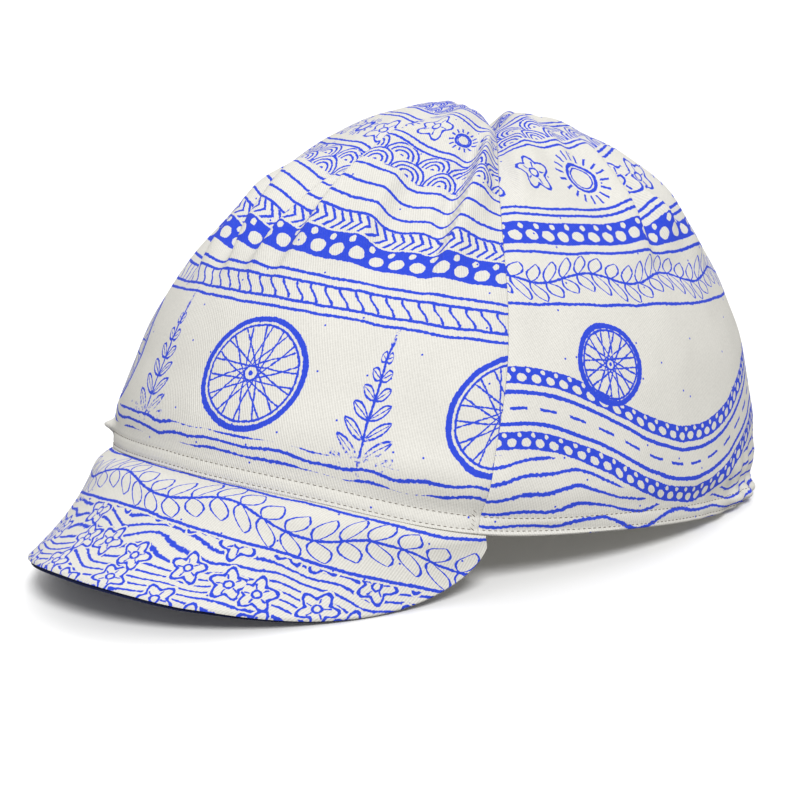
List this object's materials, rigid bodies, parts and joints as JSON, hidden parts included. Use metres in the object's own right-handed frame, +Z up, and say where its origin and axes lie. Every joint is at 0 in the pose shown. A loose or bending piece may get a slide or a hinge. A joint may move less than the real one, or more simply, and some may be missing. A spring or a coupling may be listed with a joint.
{
  "type": "cycling cap",
  "caption": "Soft cloth cycling cap: rounded sewn crown with a short arched peak, an open head hollow and a turned-in hem, lying by itself on a surface.",
  "frame": {"origin": "centre of the cap's bounding box, on the surface that it lies on", "axes": "+Z up from the surface, the peak points to -Y, the wearer's left is +X"},
  "size_m": [0.1662, 0.2388, 0.1198],
  "materials": {
    "printed_cotton": "cream cotton twill printed in royal blue line",
    "navy_cotton": "dark navy cotton"
  },
  "bodies": {
    "root": {"front_panel": "printed_cotton", "left_panel": "printed_cotton", "right_panel": "printed_cotton", "peak_top": "printed_cotton", "peak_underside": "navy_cotton"}
  },
  "joints": []
}
